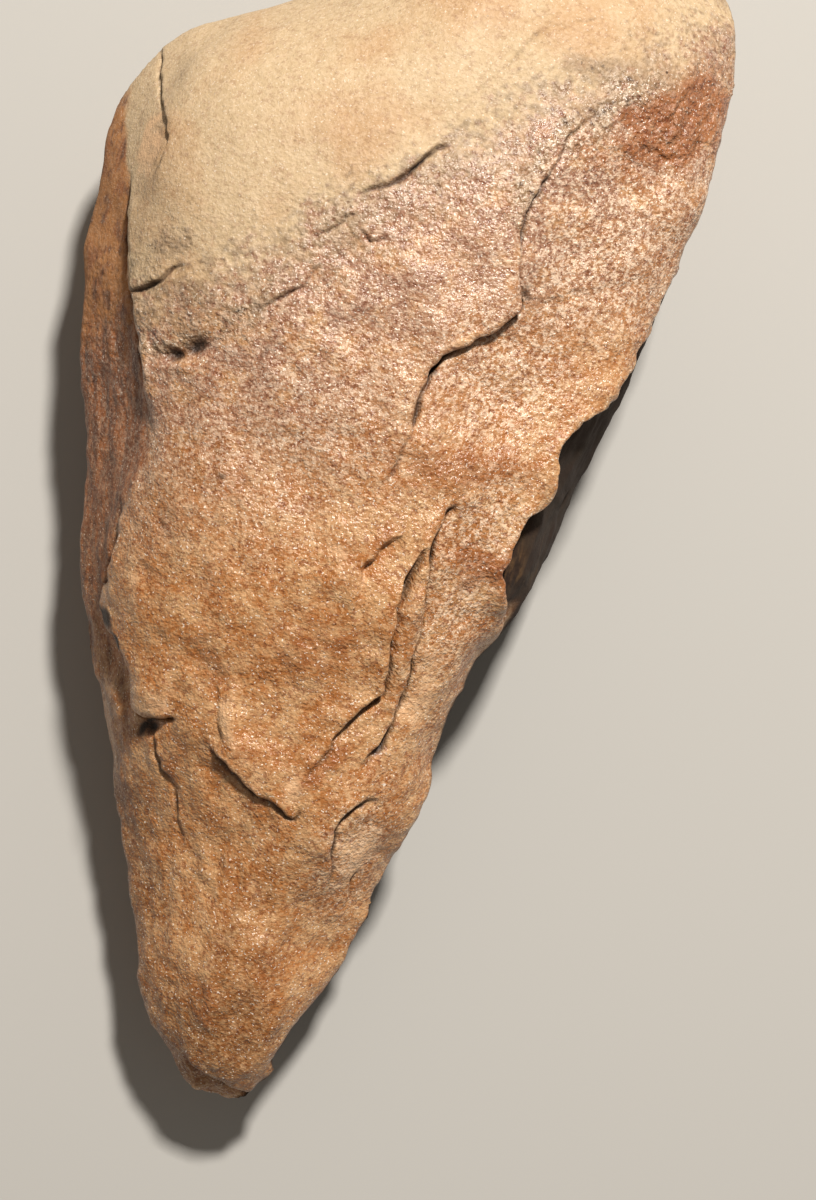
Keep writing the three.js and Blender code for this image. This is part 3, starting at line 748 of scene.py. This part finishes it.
# The clouds of the finish: size in millimetres, detail and roughness
CLOUDS = {
    "broad": (14, 3, 0.5),
    "middle": (5, 4, 0.6),
    "patchy": (2.6, 3, 0.6),
    "fine": (1.6, 3, 0.6),
    "coarse": (0.95, 1.5, 0.5),
    "blots": (0.8, 3.5, 0.8),
    "grit": (0.66, 3.5, 0.75),
    "crumb": (0.5, 3, 0.7),
    "sugar": (0.38, 1, 0.5),
    "spark": (0.3, 1, 0.5),
}
STREAK_CLOUD = (1.3, 3, 0.6)
STREAK_CLOUD_STRETCH = (1, 0.15, 1)

# In the names below, an edge is the pair of values where a layer of the finish begins and is whole,
# ragged is how far a cloud moves that edge, and cover is how much it hides of what is under it

# The rind, the pink-brown band below it and the crumbled border between them, by their rise in
# millimetres over the rind's lower border, which the broad, middle and fine clouds make ragged
RISE_RAGGED_BROAD = 10
RISE_RAGGED_MIDDLE = 14
RISE_RAGGED_FINE = 10
RIND_EDGE = (-4, 5)
BAND_EDGE = (-38, -6)
BORDER_START = (-12, -2)
BORDER_END = (2, 16)

# The bare stone: orange over tan, tan over pink-brown, and buff over cream
ORANGE_EDGE = (0.42, 0.57)
TAN_EDGE = (0.42, 0.66)
BUFF_EDGE = (0.45, 0.68)

# The crumbs at the border, the grey stains and the specks in them
CRUMBS_BORDER = 0.5
CRUMBS_COARSE = 0.6
CRUMBS_PATCHY = 0.4
CRUMBS_EDGE = (0.92, 1.1)
CRUMBS_COVER = 0.5
GREY_RAGGED = 1.4
GREY_EDGE = (0.25, 0.85)
GREY_COVER = 0.8
ASH_RAGGED = 2.0
ASH_EDGE = (0.75, 1.2)
ASH_COVER = 0.5
BLACK_RAGGED = 2.6
BLACK_EDGE = (0.95, 1.35)
BLACK_COVER = 0.7

# The brown, partly painted shade, and the rusty and chalky stains
BROWN_RAGGED_MIDDLE = 0.6
BROWN_RAGGED_STREAK = 1.4
BROWN_EDGE = (0.15, 0.95)
BROWN_COVER = 0.85
RUST_RAGGED = 1.0
RUST_EDGE = (0.25, 0.9)
RUST_COVER = 0.8
BLUSH_RAGGED = 1.2
BLUSH_EDGE = (0.54, 0.78)
BLUSH_COVER = 0.5
CHALK_RAGGED = 0.5
CHALK_EDGE = (0.40, 0.28)
CHALK_COVER = 0.3

# The old skin of the left facets, warmer where it is rind, and the painted shade of the steep right side
PLUM_EDGE = (0.4, 0.62)
WARM_EDGE = (0.36, 0.56)
WARM_COVER = 0.9
SKIN_RAGGED = 0.8
SKIN_EDGE = (0.2, 0.8)
SKIN_COVER = 0.9
GOLD_EDGE = (0.45, 0.62)
SIDE_COVER = 0.95

# The open grain, which rind and skin close, with its milky grains, mottling and painted glints. The fresher
# flake scars add to grains and mottling, and rusty stains take away from the grains
RIND_CLOSES = 0.55
SKIN_CLOSES = 0.4
MILKY_EDGE = (0.44, 0.60)
MILKY_COVER = 0.26
MILKY_FRESH = 0.40
MILKY_STAINED = 0.75
MOTTLE_RAGGED = 0.25
MOTTLE_EDGE = (0.48, 0.37)
MOTTLE_COVER = 0.6
MOTTLE_FRESH = 0.12
GLINT_EDGE = (0.65, 0.74)
GLINT_COVER = 0.7

# The dark specks, the pale lips, and the dirt and painted shade in the cracks and hollows, near black as
# painted shadow at their deepest
SPECK_SPACING = 1.9
SPECK_RAGGED = 0.4
SPECK_EDGE = (0.12, 0.05)
SPECK_COVER = 0.25
SPECK_GREY = 0.5
PALE_RAGGED = 0.9
PALE_EDGE = (0.3, 0.95)
PALE_COVER = 0.75
DIRT_SHADE_RAGGED = 0.7
DIRT_SHADE_EDGE = (0.2, 0.75)
DIRT_SHADE_COVER = 0.75
BLACK_DIRT_SHADE_RAGGED = 0.4
BLACK_DIRT_SHADE_EDGE = (0.65, 0.95)
BLACK_DIRT_SHADE_COVER = 0.8

# Roughness of the polished stone, and what each layer adds to it
POLISHED = 0.22
MATT_EDGE = (0.35, 0.65)
MATT_ROUGH = 0.12
RIND_ROUGH = 0.4
DIRT_SHADE_ROUGH = 0.3
SKIN_ROUGH = 0.3
SIDE_ROUGH = 0.8

# Heights of the grain's bump, in millimetres
SUGAR_OPEN = 0.17
SUGAR_FRESH = 0.05
SUGAR_WORN = 0.01
GRIT_HEIGHT = 0.12
FINE_HEIGHT = 0.06
COARSE_GREY = 0.25
COARSE_RUST = 0.4
COARSE_BORDER = 0.25


def find_masks(finish, place, clouds, marks):
    """Where the rind, the band below it, their border, the stains and the open grain are."""
    away = finish.node("VectorMath", {"operation": "SUBTRACT"}, {0: place, 1: (*TIP, 0)})
    across = finish.node("SeparateXYZ", None, {0: away}, "X")
    along = across.other("Y")
    rises = [across * way[0] + along * way[1] - start for way, start in RIND_LINES]
    rise = rises[0].least(rises[1]) + (clouds.broad - 0.5) * RISE_RAGGED_BROAD
    rise = rise + (clouds.middle - 0.5) * RISE_RAGGED_MIDDLE + (clouds.fine - 0.5) * RISE_RAGGED_FINE
    rind = finish.layer(rise, RIND_EDGE)
    return SimpleNamespace(
        rind=rind,
        band=finish.layer(rise, BAND_EDGE),
        border=finish.layer(rise, BORDER_START) * (1 - finish.layer(rise, BORDER_END)),
        grey=finish.layer(marks.ash, GREY_EDGE, (clouds.fine, GREY_RAGGED)),
        stain=finish.layer(marks.rust, RUST_EDGE, (clouds.fine, RUST_RAGGED)),
        open_grain=(1 - rind * RIND_CLOSES) * (1 - marks.skin * SKIN_CLOSES) * (1 - marks.side))


def bare_stone(finish, clouds, masks):
    """Tan and orange, the pink-brown band and the cream rind."""
    blend = (clouds.middle + clouds.patchy) * 0.5
    base = finish.mix(finish.layer(blend, ORANGE_EDGE), TAN, ORANGE_TAN)
    pink = finish.mix(finish.layer(blend, TAN_EDGE), PINK_BROWN, TAN)
    base = finish.mix(masks.band, base, pink)
    cream = finish.mix(finish.layer(clouds.broad, BUFF_EDGE), CREAM, CREAM_BUFF)
    return finish.mix(masks.rind, base, cream)


def add_greys(finish, base, clouds, marks, masks):
    """Crumbs along the rind's border, and grey stains with dark specks."""
    crumbs = masks.border * CRUMBS_BORDER + clouds.coarse * CRUMBS_COARSE + clouds.patchy * CRUMBS_PATCHY
    base = finish.mix(finish.layer(crumbs, CRUMBS_EDGE) * CRUMBS_COVER, base, ASH)
    base = finish.mix(masks.grey * GREY_COVER, base, OLIVE_GREY)
    specks = finish.layer(marks.ash, ASH_EDGE, (clouds.crumb, ASH_RAGGED))
    base = finish.mix(specks * ASH_COVER, base, ASH)
    specks = finish.layer(marks.ash, BLACK_EDGE, (clouds.coarse, BLACK_RAGGED))
    return finish.mix(specks * BLACK_COVER, base, GRIME_AND_SHADE)


def add_stains(finish, base, clouds, marks, masks):
    """Darker brown at the lower left and the tip, partly painted shade, rusty stains, and a faint blush and
    chalk below the rind.
    """
    streaks = (clouds.streak, BROWN_RAGGED_STREAK)
    browned = finish.layer(marks.umber, BROWN_EDGE, (clouds.middle, BROWN_RAGGED_MIDDLE), streaks)
    base = finish.mix(browned * BROWN_COVER, base, UMBER_TAN)
    base = finish.mix(masks.stain * RUST_COVER, base, RUST_RED)
    blush = finish.layer(clouds.middle, BLUSH_EDGE, (clouds.fine, BLUSH_RAGGED)) * (1 - masks.rind)
    base = finish.mix(blush * BLUSH_COVER, base, RUST_RED)
    chalk = finish.layer(clouds.patchy, CHALK_EDGE, (clouds.fine, CHALK_RAGGED)) * (1 - masks.rind)
    return finish.mix(chalk * CHALK_COVER, base, LIP_PALE)


def add_old_faces_and_side_shade(finish, base, clouds, marks, masks):
    """The darker skin of the left facets, and painted shade over the steep right side, black with dim
    golden streaks.
    """
    old = finish.mix(finish.layer(clouds.streak, PLUM_EDGE), PATINA, PATINA_PLUM)
    warm = masks.rind * WARM_COVER * finish.layer(clouds.patchy, WARM_EDGE)
    old = finish.mix(warm, old, PATINA_ORANGE)
    skin = finish.layer(marks.skin, SKIN_EDGE, (clouds.streak, SKIN_RAGGED))
    base = finish.mix(skin * SKIN_COVER, base, old)
    # The steep right side is painted shade: near black, and dim gold along its streaks
    golden = finish.layer(clouds.streak, GOLD_EDGE) * marks.gold
    shaded = finish.mix(golden, SIDE_SHADE_DARK, SIDE_SHADE_GOLD)
    return finish.mix(marks.side * SIDE_COVER, base, shaded)


def add_grain(finish, base, clouds, marks, masks):
    """Milky grains with red mottling between them, strongest on the fresher flake scars, and glints painted
    in near white.
    """
    milky = finish.layer(clouds.grit, MILKY_EDGE) * (MILKY_COVER + marks.fresh * MILKY_FRESH)
    milky = milky * (1 - masks.stain * MILKY_STAINED)
    grain = finish.mix(masks.band + marks.fresh, GRAIN_GOLD, GRAIN_PALE)
    base = finish.mix(milky * masks.open_grain, base, grain)
    mottle = finish.layer(clouds.blots, MOTTLE_EDGE, (clouds.patchy, MOTTLE_RAGGED))
    mottle = mottle * (MOTTLE_COVER + marks.fresh * MOTTLE_FRESH)
    base = finish.mix(mottle * masks.open_grain, base, MOTTLE, "MULTIPLY")
    # Glints painted into the colour as near-white specks on the open grain
    painted_glint = finish.layer(clouds.spark, GLINT_EDGE) * masks.open_grain
    return finish.mix(painted_glint * GLINT_COVER, base, PAINTED_GLINT)


def add_dirt_and_shade(finish, base, place, clouds, marks, masks):
    """Dark specks, the pale lips of the steps, and the dirt and painted shade in the cracks and hollows."""
    speck_inputs = {"Vector": place, "Scale": 1 / SPECK_SPACING, "Randomness": 1.0}
    speck_gap = finish.node("TexVoronoi", {"feature": "F1"}, speck_inputs)
    speck = finish.layer(speck_gap, SPECK_EDGE, (clouds.crumb, SPECK_RAGGED))
    base = finish.mix(speck * (SPECK_COVER + masks.grey * SPECK_GREY), base, GRIME_AND_SHADE)
    lips = finish.layer(marks.pale, PALE_EDGE, (clouds.fine, PALE_RAGGED))
    base = finish.mix(lips * PALE_COVER, base, LIP_PALE)
    # The cracks and hollows darken with dirt and painted shade, black at their core as painted shadow
    dirt = finish.layer(marks.dirt, DIRT_SHADE_EDGE, (clouds.crumb, DIRT_SHADE_RAGGED))
    base = finish.mix(dirt * DIRT_SHADE_COVER, base, GRIME_AND_SHADE)
    black_dirt_and_shade = finish.layer(marks.dirt, BLACK_DIRT_SHADE_EDGE, (clouds.crumb, BLACK_DIRT_SHADE_RAGGED))
    return finish.mix(black_dirt_and_shade * BLACK_DIRT_SHADE_COVER, base, BLACK_DIRT_AND_SHADE)


def quartzite():
    """Sugary quartzite: a cream rind, pink-brown and tan below it, and a dark patina on the left."""
    finish = Finish("quartzite")
    place = finish.node("TexCoord", None, None, "Object")
    place = finish.node("VectorMath", {"operation": "SCALE"}, {0: place, "Scale": 1 / MM})
    clouds = SimpleNamespace(**{name: finish.cloud(place, *facts) for name, facts in CLOUDS.items()})
    stretched = {0: place, 1: STREAK_CLOUD_STRETCH}
    streak_place = finish.node("VectorMath", {"operation": "MULTIPLY"}, stretched)
    clouds.streak = finish.cloud(streak_place, *STREAK_CLOUD)
    marks = SimpleNamespace(**{name: finish.attribute(name) for name in [*STAINS, "side", "skin"]})
    masks = find_masks(finish, place, clouds, marks)

    base = bare_stone(finish, clouds, masks)
    base = add_greys(finish, base, clouds, marks, masks)
    base = add_stains(finish, base, clouds, marks, masks)
    base = add_old_faces_and_side_shade(finish, base, clouds, marks, masks)
    base = add_grain(finish, base, clouds, marks, masks)
    base = add_dirt_and_shade(finish, base, place, clouds, marks, masks)
    finish.feed(finish.shader.inputs["Base Color"], base)

    rough = POLISHED + finish.layer(clouds.middle, MATT_EDGE) * MATT_ROUGH + masks.rind * RIND_ROUGH
    rough = rough + marks.dirt * DIRT_SHADE_ROUGH + marks.skin * SKIN_ROUGH + marks.side * SIDE_ROUGH
    finish.feed(finish.shader.inputs["Roughness"], rough)

    height = clouds.sugar * (masks.open_grain * SUGAR_OPEN + marks.fresh * SUGAR_FRESH + SUGAR_WORN)
    height = height + clouds.grit * GRIT_HEIGHT + clouds.fine * FINE_HEIGHT
    coarse = masks.grey * COARSE_GREY + marks.rust * COARSE_RUST + masks.border * COARSE_BORDER
    height = height + coarse * clouds.coarse
    bump_inputs = {"Strength": 1.0, "Distance": MM, "Height": height}
    finish.feed(finish.shader.inputs["Normal"], finish.node("Bump", None, bump_inputs))
    return finish.material


def plain(name, colour, roughness):
    """A plain matt finish for the floor."""
    finish = Finish(name)
    finish.feed(finish.shader.inputs["Base Color"], colour)
    finish.feed(finish.shader.inputs["Roughness"], roughness)
    return finish.material


def finish_stone():
    """The one piece of the object. The seed keeps every drift the same on each run."""
    noise.seed_set(DRIFT_SEED)
    stone = cut_blank()
    refine_seams(stone)
    carve_seams(stone)
    roughen(stone)
    thin_back(stone)
    select_only(stone)
    bpy.ops.object.shade_smooth()
    stone.data.materials.append(quartzite())
    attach(stone, "root")
    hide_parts("hand_axe")


def seen_from_above(right, up, height):
    """A place given as right and up in the camera's view, in metres from the point looked at."""
    centre = (TIP + np.array(LOOK_AT)) * MM
    rightward = np.array([math.cos(TURN), math.sin(TURN)])
    upward = np.array([-math.sin(TURN), math.cos(TURN)])
    return Vector((*(centre + right * rightward + up * upward), height))


def set_floor():
    """A wide pale floor."""
    bpy.ops.object.select_all(action="DESELECT")
    bpy.ops.mesh.primitive_plane_add(size=FLOOR_SIZE)
    floor = bpy.context.active_object
    floor.name = "floor"
    floor.data.materials.append(plain("pale_floor", FLOOR_COLOUR, FLOOR_ROUGHNESS))


def set_lights():
    """A lamp beyond the butt, a little to the right, and a dim even fill."""
    bpy.ops.object.light_add(type="AREA", location=seen_from_above(*LAMP_PLACE))
    lamp = bpy.context.active_object
    lamp.name = "lamp"
    lamp.data.energy = LAMP_POWER
    lamp.data.size = LAMP_SIZE
    lamp.data.color = LAMP_COLOUR
    aim = seen_from_above(*LAMP_AIM) - lamp.location
    lamp.rotation_euler = aim.to_track_quat("-Z", "Y").to_euler()
    world = bpy.data.worlds.new("fill")
    world.use_nodes = True
    background = world.node_tree.nodes["Background"]
    background.inputs["Color"].default_value = FILL_COLOUR
    background.inputs["Strength"].default_value = FILL_STRENGTH
    bpy.context.scene.world = world


def set_camera():
    """A camera looking straight down, turned so that the stone points as it does when held up."""
    bpy.ops.object.camera_add(location=seen_from_above(0, 0, CAMERA_HEIGHT), rotation=(0, 0, TURN))
    camera = bpy.context.active_object
    camera.data.sensor_width = SENSOR_WIDTH
    camera.data.lens = LENS
    camera.data.clip_start = NEAREST_SEEN
    bpy.context.scene.camera = camera


finish_stone()
set_floor()
set_lights()
set_camera()
bpy.context.scene.view_settings.view_transform = "Standard"
